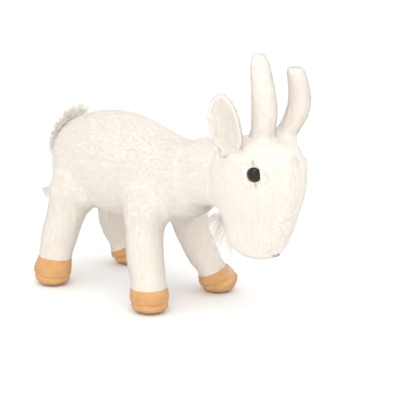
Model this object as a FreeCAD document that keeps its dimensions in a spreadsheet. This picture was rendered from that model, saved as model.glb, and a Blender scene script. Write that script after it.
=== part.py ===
"""Plush goat with a lowered head, sewn from short-pile plush over polyester stuffing.

Frame: X across (+X is the goat's left side), -Y forwards, +Z up, millimetres.
The origin is on the ground, under the middle of the whole goat. The tables below give y
from the middle of the stance, and the cell middle_shift moves it to that origin.
Each sewn part is a cover (the plush) round a core (the stuffing). A part that flexes has a
ball-shaped root in a socket of its parent, so the gap stays even as it swings.
"""

import FreeCAD, Part

import math
import os

import Sketcher

V = FreeCAD.Vector
SIDES = {"left": 1, "right": -1}

# ---------------------------------------------------------------- driving dimensions
GENERAL = {
    "cover": 3.0,  # thickness of the plush, backing and pile together
    "gap": 0.5,  # air between a ball root and its socket
    "middle_shift": 33.7,  # from the middle of the stance to the middle of the whole goat
    "far": 400.0,  # half the size of a cutting block
    "width_share": 0.95,  # a limb is this much narrower across than it is deep
}

# Stations of the torso, rear to front: y, middle height, half height, half width.
TORSO = [
    (88, 108, 9, 8.5),
    (84, 108, 25, 24),
    (72, 108, 37, 35),
    (48, 107, 44, 41),
    (10, 108.5, 44.5, 42),
    (-30, 107, 39.5, 38.5),
    (-60, 106.5, 35, 34),
    (-92, 115, 31.5, 30.5),
]
BELLY = {"belly_half": 24.0, "belly_top": 79.0, "torso_front": -83.0}

# The neck is a ball with an open sleeve of plush round its middle.
NECK = {"neck_y": -92.0, "neck_z": 117.0, "neck_ball": 31.0, "sleeve_half": 20.0}

# Stations of the head, crown to chin: z, middle y, half depth, half width.
HEAD = [
    (157.5, -148, 9, 8),
    (155, -147, 24, 21),
    (147, -145.5, 34.5, 29.5),
    (134, -145, 40, 35),
    (117, -145, 40.5, 36),
    (99, -145.5, 35.5, 33),
    (83, -144.5, 29.5, 28),
    (70, -144, 27, 25),
    (62, -145, 21.5, 20),
    (57, -146.5, 13.5, 12.5),
    (55, -147, 6, 5.5),
]
GUSSET = {"gusset_half": 12.0, "gusset_low": 76.0, "gusset_rear": -125.0, "chin_top": 64.0}

# Legs: levels, the middle line (x, y) at each level, and the half depth at each level.
LEVELS = {"hip": 85.0, "knee": 50.0, "shin": 33.0, "hoof_top": 21.0, "band": 15.0,
          "crease": 9.0, "sole": 3.5, "ground": 0.0}
LINES = {
    "front_left": {"hip": (28, -38), "knee": (30, -42), "shin": (34, -49), "hoof_top": (38, -55.5),
                   "foot": (42, -60)},
    "front_right": {"hip": (-31, -45), "knee": (-36.5, -49), "shin": (-39, -54),
                    "hoof_top": (-41, -58.5), "foot": (-42, -60)},
    "rear_left": {"hip": (28, 54), "knee": (34.5, 66), "shin": (38.5, 67.5), "hoof_top": (43.5, 64.5),
                  "foot": (46, 60.5)},
    "rear_right": {"hip": (-27, 50), "knee": (-35.5, 56), "shin": (-40, 58),
                   "hoof_top": (-44.5, 58.5), "foot": (-46, 60)},
}
DEPTHS = {
    "front": {"ball": 20.5, "hip": 18.8, "knee": 17.3, "shin": 16.6, "hoof_top": 16.4},
    "rear": {"ball": 23.5, "hip": 21.0, "knee": 16.8, "shin": 15.8, "hoof_top": 15.8},
}
HOOF = {"band": 17.4, "crease": 17.2, "sole": 16.8, "ground": 13.0}
ROOM = {"leg_room": 26.0, "side_room": 1.0, "room_drop": 4.0}  # the room under the belly that a leg swings in

# Horns: the root ball, then z, x, y and radius of each station.
HORN_ROOT = {"horn_ball": 11.2, "horn_root": 155.5}
HORNS = {
    "left": [(154, 13, -159, 9.9), (168, 15.5, -164, 9.8), (186, 17.5, -167.5, 9.8),
             (200, 15, -167, 8.6), (209, 12.5, -166, 6.8), (212, 12, -165.5, 3)],
    "right": [(154, -13, -158, 10.4), (170, -14.5, -160.5, 10.5), (188, -15, -160.5, 10.4),
              (206, -13.8, -156, 8.9), (219, -13, -152.5, 7), (222.5, -12.8, -151.5, 3)],
}

# Ears: two curled leaves of plush sewn to a rolled root.
EAR = {"ear_length": 50.0, "ear_half": 12.0, "ear_layer": 2.4, "ear_curl": 24.0,
       "roll": 3.2, "roll_half": 8.0, "ear_x": 30.1, "ear_y": -142.0, "ear_z": 146.5}
EAR_LEAN = {"left": 30.0, "right": 16.0}  # outwards from upright
EAR_TURN = 22.0  # forwards from facing sideways

EYE = {"dome": 6.0, "dome_height": 4.2, "dome_sink": 0.6, "shank": 1.9, "shank_length": 9.0,
       "washer": 7.0, "washer_thick": 1.2, "washer_depth": 3.8,
       "eye_x": 30.0, "eye_y": -165.5, "eye_z": 132.5}
EYE_TURN = 27.0  # the eyes look this far forwards from sideways

# Beard and tail: the root ball, then a long drop of fur: middle, half length, depth and width.
DROPS = {
    "beard": {"ball": 7.0, "ball_y": -112.5, "ball_z": 82.0, "middle_y": -103.0, "middle_z": 55.0,
              "long": 26.0, "deep": 9.0, "wide": 12.0},
    "tail": {"ball": 7.5, "ball_y": 77.0, "ball_z": 145.0, "middle_y": 97.0, "middle_z": 128.0,
             "long": 24.0, "deep": 6.5, "wide": 10.0},
}
DROP_TILT = {"beard": 8.0, "tail": 32.0}  # the lower end leans to the rear by this many degrees

MOUTH = {"mouth_radius": 4.0, "thread": 0.7, "mouth_y": -166.0, "mouth_z": 62.5}
MOUTH_SWEEP, MOUTH_TILT = 130.0, 142.0  # angle of the arc, and the tilt of its plane under the nose

LABEL = {"tag_thick": 0.8, "tag_long": 34.0, "tag_tall": 10.0, "tag_x": -6.0, "tag_y": 83.0,
         "tag_z": 76.0}
LABEL_DROOP = 20.0

# ---------------------------------------------------------------- document and sheet
doc = FreeCAD.newDocument("plush_goat")
sheet = doc.addObject("Spreadsheet::Sheet", "Sizes")
nodes = {}


def put(alias, value):
    """Put a plain number in the sheet and give back the expression that reads it."""
    put.row += 1
    sheet.set(f"A{put.row}", alias)
    sheet.set(f"B{put.row}", str(value))
    sheet.setAlias(f"B{put.row}", alias)
    return f"Sizes.{alias}"


put.row = 0


def bind(thing, expressions):
    """Bind properties of a document object to expressions."""
    for name, expression in expressions.items():
        thing.setExpression(name, expression)
    return thing


def place(thing, x, y, z, rotation=None):
    """Bind a position, with y measured from the middle of the stance."""
    if rotation:
        thing.Placement = FreeCAD.Placement(V(), rotation)
    return bind(thing, {"Placement.Base.x": x, "Placement.Base.y": f"{y} + Sizes.middle_shift",
                        "Placement.Base.z": z})


def keep(name, thing):
    """Make an object a sub-part: its label names its file."""
    thing.Label = name
    nodes[name] = thing
    return thing


# ---------------------------------------------------------------- building blocks
ALONG_Z = FreeCAD.Rotation(V(0, 0, 1), 90)  # the long radius of an ellipse lies along Y
ALONG_Y = FreeCAD.Rotation(V(0, 0, 1), V(1, 0, 0), V(0, 1, 0), "XZY")  # upright, facing Y


def station(x, y, z, deep, wide):
    """The expressions of one ellipse of a loft."""
    return {"x": x, "y": y, "z": z, "deep": deep, "wide": wide}


def loft(name, stations, rotation, inset="0"):
    """A smooth solid through ellipses, each made smaller by the inset."""
    rings = []
    for number, at in enumerate(stations):
        ring = doc.addObject("Part::Ellipse", f"{name}_ring_{number}")
        bind(ring, {"MajorRadius": f"{at['deep']} - {inset}", "MinorRadius": f"{at['wide']} - {inset}"})
        rings.append(place(ring, at["x"], at["y"], at["z"], rotation))
    body = doc.addObject("Part::Loft", name)
    body.Sections = rings
    body.Solid = True
    body.MaxDegree = 2  # a higher degree swings out between unevenly spaced rings
    return body


def ball(name, x, y, z, radius):
    """A sphere bound to the sheet."""
    sphere = doc.addObject("Part::Sphere", name)
    return place(bind(sphere, {"Radius": radius}), x, y, z)


def block(name, low, high):
    """A box between two corners, given as expressions; None is far away."""
    box = doc.addObject("Part::Box", name)
    low = [value or "-Sizes.far" for value in low]
    high = [value or "Sizes.far" for value in high]
    sizes = [f"({b}) - ({a})" for a, b in zip(low, high)]
    bind(box, dict(zip(("Length", "Width", "Height"), sizes)))
    return place(box, *[f"({value})" for value in low])


def cut(name, base, *tools):
    """A base less every tool."""
    for number, tool in enumerate(tools):
        last = number == len(tools) - 1
        result = doc.addObject("Part::Cut", name if last else f"{name}_step_{number}")
        result.Base = base
        result.Tool = tool
        base = result
    return base


def join(kind, name, *shapes):
    """A Part::MultiFuse or Part::MultiCommon of shapes."""
    result = doc.addObject(kind, name)
    result.Shapes = list(shapes)
    return result


def fuse(name, *shapes):
    return join("Part::MultiFuse", name, *shapes)


def common(name, *shapes):
    return join("Part::MultiCommon", name, *shapes)


def socket(name, x, y, z, radius):
    """The hollow that a root ball sits in."""
    return ball(name, x, y, z, f"{radius} + Sizes.gap")


# ---------------------------------------------------------------- limbs and other flexing parts
def leg(corner):
    """Cover, stuffing and two-part hoof of one leg. Gives back its socket and its room."""
    end = corner.split("_")[0]
    line = LINES[corner]
    stations = []
    for level in LEVELS:
        spot = level if level in line else "foot"
        deep = f"Sizes.{end}_{level}" if level in DEPTHS[end] else f"Sizes.hoof_{level}"
        stations.append(station(f"Sizes.{corner}_{spot}_x", f"Sizes.{corner}_{spot}_y",
                                f"Sizes.level_{level}", deep, f"{deep} * Sizes.width_share"))
    centre = (f"Sizes.{corner}_hip_x", f"Sizes.{corner}_hip_y", "Sizes.level_hip")
    radius = f"Sizes.{end}_ball"
    outer = fuse(f"{corner}_outer", loft(f"{corner}_limb", stations, ALONG_Z),
                 ball(f"{corner}_ball", *centre, radius))
    inner = fuse(f"{corner}_inner", loft(f"{corner}_core", stations[:-1], ALONG_Z, "Sizes.cover"),
                 ball(f"{corner}_core_ball", *centre, f"{radius} - Sizes.cover"))
    shell = cut(f"{corner}_shell", outer, inner)
    upper_room = block(f"{corner}_above_hoof", (None, None, "Sizes.level_hoof_top"), (None, None, None))
    band_room = block(f"{corner}_band", (None, None, "Sizes.level_crease"),
                      (None, None, "Sizes.level_hoof_top"))
    sole_room = block(f"{corner}_below_crease", (None, None, None), (None, None, "Sizes.level_crease"))
    keep(f"{corner}_leg_cover", common(f"{corner}_leg_plush", shell, upper_room))
    keep(f"{corner}_hoof_band", common(f"{corner}_hoof_upper", shell, band_room))
    keep(f"{corner}_hoof_sole", common(f"{corner}_hoof_lower", shell, sole_room))
    keep(f"{corner}_leg_stuffing", inner)
    x, y, z = centre
    half = f"(Sizes.{end}_hip * Sizes.width_share + Sizes.side_room)"
    room = block(f"{corner}_room", (f"{x} - {half}", f"{y} - Sizes.leg_room", None),
                 (f"{x} + {half}", f"{y} + Sizes.leg_room", f"{z} - Sizes.room_drop"))
    return fuse(f"{corner}_hollow", socket(f"{corner}_socket", *centre, radius), room)


def horn(side):
    """Cover and stuffing of one horn. Gives back its socket."""
    stations = []
    for number in range(len(HORNS[side])):
        name = f"Sizes.horn_{side}_{number}"
        stations.append(station(f"{name}_x", f"{name}_y", f"{name}_z", f"{name}_radius",
                                f"{name}_radius * Sizes.width_share"))
    centre = (stations[0]["x"], stations[0]["y"], "Sizes.horn_root")
    outer = fuse(f"horn_{side}_outer", loft(f"horn_{side}_limb", stations, ALONG_Z),
                 ball(f"horn_{side}_ball", *centre, "Sizes.horn_ball"))
    inner = fuse(f"horn_{side}_inner", loft(f"horn_{side}_core", stations[:-1], ALONG_Z, "Sizes.cover"),
                 ball(f"horn_{side}_core_ball", *centre, "Sizes.horn_ball - Sizes.cover"))
    keep(f"horn_{side}_cover", cut(f"horn_{side}_shell", outer, inner))
    keep(f"horn_{side}_stuffing", inner)
    return socket(f"horn_{side}_socket", *centre, "Sizes.horn_ball")


def ear(side):
    """Back and lining of one ear, two layers of a curled leaf. Gives back its socket."""
    sign = SIDES[side]
    name = f"ear_{side}"
    leaf = doc.addObject("Part::Ellipse", f"{name}_outline")
    leaf.Placement = FreeCAD.Placement(V(), ALONG_Y)
    bind(leaf, {"MajorRadius": "Sizes.ear_length / 2", "MinorRadius": "Sizes.ear_half",
                "Placement.Base.z": "Sizes.ear_length / 2"})
    slab = doc.addObject("Part::Extrusion", f"{name}_slab")
    slab.Base = leaf
    slab.Dir = V(0, 1, 0)
    slab.Solid = True
    slab.Symmetric = True
    bind(slab, {"LengthFwd": "Sizes.ear_curl"})
    tubes = []
    for number, layers in enumerate((1, 0, -1)):
        tube = doc.addObject("Part::Cylinder", f"{name}_tube_{number}")
        bind(tube, {"Radius": f"Sizes.ear_curl + {layers} * Sizes.ear_layer", "Height": "Sizes.ear_length",
                    "Placement.Base.y": "-Sizes.ear_curl"})
        tubes.append(tube)
    roll = doc.addObject("Part::Cylinder", f"{name}_roll")
    roll.Placement = FreeCAD.Placement(V(), FreeCAD.Rotation(V(0, 1, 0), 90))
    bind(roll, {"Radius": "Sizes.roll", "Height": "2 * Sizes.roll_half", "Placement.Base.x": "-Sizes.roll_half"})
    back_ring = cut(f"{name}_back_ring", tubes[0], tubes[1])
    lining_ring = cut(f"{name}_lining_ring", tubes[1], tubes[2])
    back = fuse(f"{name}_back_leaf", common(f"{name}_back_curl", slab, back_ring), roll)
    lining = cut(f"{name}_lining_leaf", common(f"{name}_lining_curl", slab, lining_ring), roll)
    hollow = doc.addObject("Part::Cylinder", f"{name}_socket")
    bind(hollow, {"Radius": "Sizes.roll + Sizes.gap", "Height": "2 * Sizes.roll_half + 2 * Sizes.gap"})
    facing = FreeCAD.Rotation(V(0, 0, 1), -sign * EAR_TURN) * FreeCAD.Rotation(V(0, 0, 1), sign * 90)
    pose = FreeCAD.Rotation(V(0, 1, 0), sign * EAR_LEAN[side]) * facing
    across = pose.multVec(V(1, 0, 0))
    spot = (f"{sign} * Sizes.ear_x", "Sizes.ear_y", "Sizes.ear_z")
    start = [f"{value} - {step} * (Sizes.roll_half + Sizes.gap)" for value, step in zip(spot, across)]
    place(back, *spot, pose)
    place(lining, *spot, pose)
    place(hollow, *start, FreeCAD.Rotation(V(0, 0, 1), across))
    keep(f"{name}_back", back)
    keep(f"{name}_lining", lining)
    return hollow


def drop(name):
    """The beard or the tail: one piece of long fur hanging from a root. Gives back its socket."""
    root = ("0", f"Sizes.{name}_ball_y", f"Sizes.{name}_ball_z")
    fur = doc.addObject("Part::Ellipsoid", f"{name}_fur")
    bind(fur, {"Radius1": f"Sizes.{name}_long", "Radius2": f"Sizes.{name}_wide", "Radius3": f"Sizes.{name}_deep"})
    place(fur, "0", f"Sizes.{name}_middle_y", f"Sizes.{name}_middle_z",
          FreeCAD.Rotation(V(1, 0, 0), DROP_TILT[name]))
    keep(name, fuse(f"{name}_piece", fur, ball(f"{name}_root", *root, f"Sizes.{name}_ball")))
    return socket(f"{name}_socket", *root, f"Sizes.{name}_ball")


# ---------------------------------------------------------------- small hard and flat pieces
def sketch_on(body, role, name):
    """A sketch on one of its body's origin planes."""
    plane = next(item for item in body.Origin.OriginFeatures if item.Role == role)
    sketch = body.newObject("Sketcher::SketchObject", name)
    sketch.AttachmentSupport = [(plane, "")]
    sketch.MapMode = "FlatFace"
    return sketch


def size(sketch, kind, ends, value, name, expression):
    """A named dimension of a sketch, bound to the sheet."""
    sketch.addConstraint(Sketcher.Constraint(kind, *ends, value))
    sketch.renameConstraint(sketch.ConstraintCount - 1, name)
    sketch.setExpression(f"Constraints.{name}", expression)


def eye(side):
    """A glossy dome with its shank, and the washer that locks it. Both turn about their own Z."""
    sign = SIDES[side]
    turn = math.radians(EYE_TURN)
    out = V(sign * math.cos(turn), -math.sin(turn), 0)
    pose = FreeCAD.Rotation(V(0, 0, 1), out)
    dome, high, shank, long = EYE["dome"], EYE["dome_height"], EYE["shank"], EYE["shank_length"]
    curve = (dome ** 2 + high ** 2) / (2 * high)
    start = math.atan2(curve - high, dome)
    body = doc.addObject("PartDesign::Body", f"eye_{side}_body")
    sketch = sketch_on(body, "XZ_Plane", f"eye_{side}_outline")
    circle = Part.Circle(V(0, high - curve, 0), V(0, 0, 1), curve)
    sketch.addGeometry([
        Part.LineSegment(V(0, -long, 0), V(0, high, 0)),
        Part.ArcOfCircle(circle, start, math.pi / 2),
        Part.LineSegment(V(dome, 0, 0), V(shank, 0, 0)),
        Part.LineSegment(V(shank, 0, 0), V(shank, -long, 0)),
        Part.LineSegment(V(shank, -long, 0), V(0, -long, 0)),
    ], False)
    for first, second in (((0, 2), (1, 2)), ((1, 1), (2, 1)), ((2, 2), (3, 1)), ((3, 2), (4, 1)), ((4, 2), (0, 1))):
        sketch.addConstraint(Sketcher.Constraint("Coincident", *first, *second))
    for point, axis in (((0, 1), -2), ((0, 2), -2), ((1, 3), -2), ((2, 1), -1), ((2, 2), -1)):
        sketch.addConstraint(Sketcher.Constraint("PointOnObject", *point, axis))
    sketch.addConstraint(Sketcher.Constraint("Vertical", 3))
    sketch.addConstraint(Sketcher.Constraint("Horizontal", 4))
    size(sketch, "DistanceX", (-1, 1, 2, 1), dome, "dome", "Sizes.dome")
    size(sketch, "DistanceX", (-1, 1, 3, 1), shank, "shank", "Sizes.shank")
    size(sketch, "DistanceY", (-1, 1, 0, 2), high, "high", "Sizes.dome_height")
    size(sketch, "DistanceY", (0, 1, -1, 1), long, "long", "Sizes.shank_length")
    turned = body.newObject("PartDesign::Revolution", f"eye_{side}_turned")
    turned.Profile = sketch
    turned.ReferenceAxis = (sketch, ["V_Axis"])
    turned.Angle = 360
    spot = (f"{sign} * Sizes.eye_x", "Sizes.eye_y", "Sizes.eye_z")
    place(body, *inwards(spot, out, "Sizes.dome_sink"), pose)
    keep(f"eye_{side}", body)

    washer = doc.addObject("PartDesign::Body", f"eye_washer_{side}_body")
    ring = sketch_on(washer, "XY_Plane", f"eye_washer_{side}_outline")
    for number, name in enumerate(("washer", "shank")):
        radius = EYE[name]
        ring.addGeometry(Part.Circle(V(), V(0, 0, 1), radius), False)
        ring.addConstraint(Sketcher.Constraint("Coincident", number, 3, -1, 1))
        size(ring, "Radius", (number,), radius, name, f"Sizes.{name}")
    pad = washer.newObject("PartDesign::Pad", f"eye_washer_{side}_pad")
    pad.Profile = ring
    pad.setExpression("Length", "Sizes.washer_thick")
    place(washer, *inwards(spot, out, "(Sizes.washer_depth + Sizes.washer_thick)"), pose)
    keep(f"eye_washer_{side}", washer)
    return body, washer


def inwards(spot, out, depth):
    """A spot moved into the body along the inward normal."""
    return [f"{value} - ({step}) * {depth}" for value, step in zip(spot, out)]


def mouth():
    """A short curved stitch of dark thread under the nose."""
    stitch = doc.addObject("Part::Torus", "mouth_thread")
    bind(stitch, {"Radius1": "Sizes.mouth_radius", "Radius2": "Sizes.thread"})
    stitch.Angle3 = MOUTH_SWEEP
    turn = FreeCAD.Rotation(V(1, 0, 0), MOUTH_TILT) * FreeCAD.Rotation(V(0, 0, 1), 270 - MOUTH_SWEEP / 2)
    place(stitch, "0", "Sizes.mouth_y", "Sizes.mouth_z", turn)
    return keep("mouth_stitch", stitch)


def label():
    """A blank folded ribbon sewn into the seam under the tail."""
    ribbon = doc.addObject("Part::Box", "label_ribbon")
    bind(ribbon, {"Length": "Sizes.tag_thick", "Width": "Sizes.tag_long", "Height": "Sizes.tag_tall"})
    place(ribbon, "Sizes.tag_x", "Sizes.tag_y", "Sizes.tag_z", FreeCAD.Rotation(V(1, 0, 0), -LABEL_DROOP))
    return keep("sewn_in_label", ribbon)


# ---------------------------------------------------------------- the three big pieces
def neck():
    """A stuffed ball with an open sleeve of plush round it. Gives back its socket."""
    centre = ("0", "Sizes.neck_y", "Sizes.neck_z")
    outer = ball("neck_outer", *centre, "Sizes.neck_ball")
    inner = ball("neck_inner", *centre, "Sizes.neck_ball - Sizes.cover")
    band = block("neck_band", (None, "Sizes.neck_y - Sizes.sleeve_half", None),
                 (None, "Sizes.neck_y + Sizes.sleeve_half", None))
    sleeve = common("neck_sleeve", cut("neck_shell", outer, inner), band)
    keep("neck_cover", sleeve)
    keep("neck_stuffing", cut("neck_core", outer, sleeve))
    return socket("neck_socket", *centre, "Sizes.neck_ball")


def halves(prefix, shell):
    """Left and right panels of a shell, parted at the middle plane."""
    for side, low, high in (("left", "0", None), ("right", None, "0")):
        room = block(f"{prefix}_{side}_room", (low, None, None), (high, None, None))
        keep(f"{prefix}_{side}", common(f"{prefix}_{side}_panel", shell, room))


def torso(hollows, ribbon):
    """Two side panels, a belly panel and the stuffing."""
    rings = []
    for number in range(len(TORSO)):
        name = f"Sizes.torso_{number}"
        rings.append(station("0", f"{name}_y", f"{name}_z", f"{name}_high", f"{name}_wide"))
    front = block("torso_front_room", (None, None, None), (None, "Sizes.torso_front", None))
    hollow = fuse("torso_hollow", front, *hollows)
    outer = loft("torso_outer", rings, ALONG_Y)
    inner = loft("torso_inner", rings[1:], ALONG_Y, "Sizes.cover")
    shell = cut("torso_shell", outer, inner, hollow, ribbon)
    belly_room = block("belly_room", ("-Sizes.belly_half", None, None),
                       ("Sizes.belly_half", None, "Sizes.belly_top"))
    keep("belly_gusset", common("belly_panel", shell, belly_room))
    keep("torso_stuffing", cut("torso_core", inner, hollow, ribbon))
    halves("torso_side", cut("torso_sides", shell, belly_room))


def head(hollows, fittings):
    """Two side panels, a gusset over the face, a chin panel and the stuffing."""
    rings = []
    for number in range(len(HEAD)):
        name = f"Sizes.head_{number}"
        rings.append(station("0", f"{name}_y", f"{name}_z", f"{name}_deep", f"{name}_wide"))
    hollow = fuse("head_hollow", *hollows)
    outer = loft("head_outer", rings, ALONG_Z)
    inner = loft("head_inner", rings[1:-1], ALONG_Z, "Sizes.cover")
    shell = cut("head_shell", outer, inner, hollow, *fittings)
    gusset_room = block("gusset_room", ("-Sizes.gusset_half", None, "Sizes.gusset_low"),
                        ("Sizes.gusset_half", "Sizes.gusset_rear", None))
    chin_room = block("chin_room", (None, None, None), (None, None, "Sizes.chin_top"))
    keep("face_gusset", common("face_panel", shell, gusset_room))
    keep("chin_panel", common("chin_cover", shell, chin_room))
    keep("head_stuffing", cut("head_core", inner, hollow, *fittings))
    halves("head_side", cut("head_sides", shell, gusset_room, chin_room))


# ---------------------------------------------------------------- fill the sheet
def fill_rows(prefix, rows, keys):
    """One row of cells per station."""
    for number, values in enumerate(rows):
        for key, value in zip(keys, values):
            put(f"{prefix}_{number}_{key}", value)


for table in (GENERAL, BELLY, NECK, GUSSET, HORN_ROOT, EAR, EYE, MOUTH, LABEL, ROOM):
    for alias, value in table.items():
        put(alias, value)
for level, value in LEVELS.items():
    put(f"level_{level}", value)
for part, value in HOOF.items():
    put(f"hoof_{part}", value)
for end, depths in DEPTHS.items():
    for level, value in depths.items():
        put(f"{end}_{level}", value)
for corner, line in LINES.items():
    for level, (x, y) in line.items():
        put(f"{corner}_{level}_x", x)
        put(f"{corner}_{level}_y", y)
for name, values in DROPS.items():
    for key, value in values.items():
        put(f"{name}_{key}", value)
fill_rows("torso", TORSO, ("y", "z", "high", "wide"))
fill_rows("head", HEAD, ("z", "y", "deep", "wide"))
for side, rows in HORNS.items():
    fill_rows(f"horn_{side}", rows, ("z", "x", "y", "radius"))
doc.recompute()

# ---------------------------------------------------------------- build
leg_hollows = [leg(corner) for corner in LINES]
neck_hollow = neck()
torso([neck_hollow, drop("tail"), *leg_hollows], label())
head_hollows = [neck_hollow, drop("beard"), *map(horn, SIDES), *map(ear, SIDES)]
head(head_hollows, [*eye("left"), *eye("right"), mouth()])
doc.recompute()

# ---------------------------------------------------------------- check and write
for item in doc.Objects:
    if "Invalid" in item.State or "Error" in item.State:
        raise RuntimeError(f"{item.Name} failed: {item.State}")
for name, thing in nodes.items():
    if thing.Shape.isNull() or not thing.Shape.isValid():
        raise RuntimeError(f"{name} has no valid shape")
os.makedirs("parts", exist_ok=True)
for name, thing in nodes.items():
    thing.Shape.exportStep(f"parts/{name}.step")
    box = thing.Shape.BoundBox
    print(f"{name:28s} solids {len(thing.Shape.Solids)}  {thing.Shape.Volume / 1000:7.2f} cm3  "
          f"y {box.YMin:7.1f} {box.YMax:7.1f}  z {box.ZMin:6.1f} {box.ZMax:6.1f}")
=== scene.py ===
"""A stuffed plush goat, dressed in sewn skins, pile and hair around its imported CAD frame.

Lengths are metres in the frame's axes: the goat faces -Y and its left side is +X.
"""
import math

import bmesh
import bpy
import numpy as np
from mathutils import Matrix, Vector
from mathutils.bvhtree import BVHTree
from mathutils.kdtree import KDTree


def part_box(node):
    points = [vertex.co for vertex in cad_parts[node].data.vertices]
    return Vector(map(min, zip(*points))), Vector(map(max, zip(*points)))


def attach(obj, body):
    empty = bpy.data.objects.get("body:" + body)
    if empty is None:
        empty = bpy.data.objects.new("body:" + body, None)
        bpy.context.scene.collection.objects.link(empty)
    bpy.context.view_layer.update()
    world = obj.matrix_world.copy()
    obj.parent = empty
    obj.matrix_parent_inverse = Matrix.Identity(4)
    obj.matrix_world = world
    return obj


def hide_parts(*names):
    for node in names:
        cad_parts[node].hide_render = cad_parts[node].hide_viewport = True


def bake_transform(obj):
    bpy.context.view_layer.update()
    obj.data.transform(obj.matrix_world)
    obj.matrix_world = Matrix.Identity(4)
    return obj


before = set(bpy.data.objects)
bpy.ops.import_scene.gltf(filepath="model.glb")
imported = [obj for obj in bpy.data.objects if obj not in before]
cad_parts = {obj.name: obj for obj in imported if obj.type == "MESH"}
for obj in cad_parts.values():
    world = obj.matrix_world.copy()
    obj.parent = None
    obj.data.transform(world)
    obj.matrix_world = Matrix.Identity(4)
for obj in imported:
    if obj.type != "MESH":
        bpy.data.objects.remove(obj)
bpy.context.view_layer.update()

MM = 0.001
CORNERS = ("front_left", "front_right", "rear_left", "rear_right")
SIDES = ("left", "right")
UP = np.array((0.0, 0.0, 1.0))

scene = bpy.context.scene


# ---------------------------------------------------------------- mesh helpers
def coords(mesh):
    """The mesh's points as an array."""
    points = np.empty(len(mesh.vertices) * 3, np.float32)
    mesh.vertices.foreach_get("co", points)
    return points.reshape(-1, 3).astype(float)


def normals(mesh):
    """The mesh's vertex normals as an array."""
    found = np.empty(len(mesh.vertices) * 3, np.float32)
    mesh.vertex_normals.foreach_get("vector", found)
    return found.reshape(-1, 3).astype(float)


def move_to(mesh, points):
    """Put the mesh's points where the array says."""
    mesh.vertices.foreach_set("co", np.asarray(points, np.float32).ravel())
    mesh.update()


def unit(vectors):
    """Each row made one long."""
    vectors = np.asarray(vectors, float)
    return vectors / np.maximum(np.linalg.norm(vectors, axis=-1, keepdims=True), 1e-12)


def rise(values, low, high):
    """0 below low, 1 above high, smooth between."""
    t = np.clip((np.asarray(values, float) - low) / (high - low), 0, 1)
    return t * t * (3 - 2 * t)


def link(name, mesh):
    """A new object in the scene that shows the mesh."""
    found = bpy.data.objects.new(name, mesh)
    scene.collection.objects.link(found)
    return found


def copied(name, *nodes):
    """One object that holds copies of the CAD nodes' meshes."""
    bm = bmesh.new()
    for node in nodes:
        bm.from_mesh(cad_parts[node].data)
    bmesh.ops.remove_doubles(bm, verts=bm.verts, dist=1e-6)
    mesh = bpy.data.meshes.new(name)
    bm.to_mesh(mesh)
    bm.free()
    return link(name, mesh)


def settled(thing):
    """Turn the object's modifiers into its mesh."""
    graph = bpy.context.evaluated_depsgraph_get()
    mesh = bpy.data.meshes.new_from_object(thing.evaluated_get(graph))
    thing.modifiers.clear()
    thing.data = mesh
    return thing


def outer_shell(mesh):
    """Keep the connected shell with the largest box, and drop what is inside it."""
    bm = bmesh.new()
    bm.from_mesh(mesh)
    bm.verts.ensure_lookup_table()
    unseen = set(range(len(bm.verts)))
    best, best_size = None, -1.0
    while unseen:
        stack = [unseen.pop()]
        group = list(stack)
        while stack:
            for edge in bm.verts[stack.pop()].link_edges:
                for vert in edge.verts:
                    if vert.index in unseen:
                        unseen.remove(vert.index)
                        stack.append(vert.index)
                        group.append(vert.index)
        points = np.array([bm.verts[i].co for i in group])
        size = float(np.linalg.norm(points.max(0) - points.min(0)))
        if size > best_size:
            best, best_size = set(group), size
    spare = [v for v in bm.verts if v.index not in best]
    bmesh.ops.delete(bm, geom=spare, context="VERTS")
    bm.to_mesh(mesh)
    bm.free()


def skinned(name, nodes, voxel, inset, smooth=4, lumps=()):
    """One closed skin round the CAD nodes and any added lumps, its surface set in by inset."""
    thing = copied(name, *nodes)
    bm = bmesh.new()
    bm.from_mesh(thing.data)
    for place, radii in lumps:
        blob(bm, place, radii)
    bm.to_mesh(thing.data)
    bm.free()
    remesh = thing.modifiers.new("Remesh", "REMESH")
    remesh.mode = "VOXEL"
    remesh.voxel_size = voxel
    settled(thing)
    outer_shell(thing.data)
    relax = thing.modifiers.new("Relax", "SMOOTH")
    relax.factor = 0.5
    relax.iterations = smooth
    settled(thing)
    move_to(thing.data, coords(thing.data) - inset * normals(thing.data))
    return thing


def filled(mesh, weight, rounds):
    """Raise the hollows between swellings, as stuffing does; swellings stay as they are."""
    ends = np.empty(len(mesh.edges) * 2, np.int32)
    mesh.edges.foreach_get("vertices", ends)
    a, b = ends.reshape(-1, 2).T
    count = np.bincount(ends, minlength=len(mesh.vertices))[:, None]
    for _ in range(rounds):
        points, facing = coords(mesh), normals(mesh)
        total = np.zeros_like(points)
        np.add.at(total, a, points[b])
        np.add.at(total, b, points[a])
        pull = total / np.maximum(count, 1) - points
        outward = np.sum(pull * facing, axis=1) > 0
        move_to(mesh, points + pull * (outward * weight)[:, None])


def smoothed(mesh, weight, rounds):
    """Ease every point towards the middle of its neighbours by its weight."""
    ends = np.empty(len(mesh.edges) * 2, np.int32)
    mesh.edges.foreach_get("vertices", ends)
    a, b = ends.reshape(-1, 2).T
    count = np.maximum(np.bincount(ends, minlength=len(mesh.vertices)), 1)[:, None]
    points = coords(mesh)
    weight = np.broadcast_to(weight, len(points))[:, None]
    for _ in range(rounds):
        total = np.zeros_like(points)
        np.add.at(total, a, points[b])
        np.add.at(total, b, points[a])
        points += (total / count - points) * weight
    move_to(mesh, points)


def blob(bm, place, radii):
    """Add a small rounded lump to the bmesh."""
    made = bmesh.ops.create_icosphere(bm, subdivisions=3, radius=1.0)
    bmesh.ops.scale(bm, vec=radii, verts=made["verts"])
    bmesh.ops.translate(bm, vec=place, verts=made["verts"])


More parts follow.
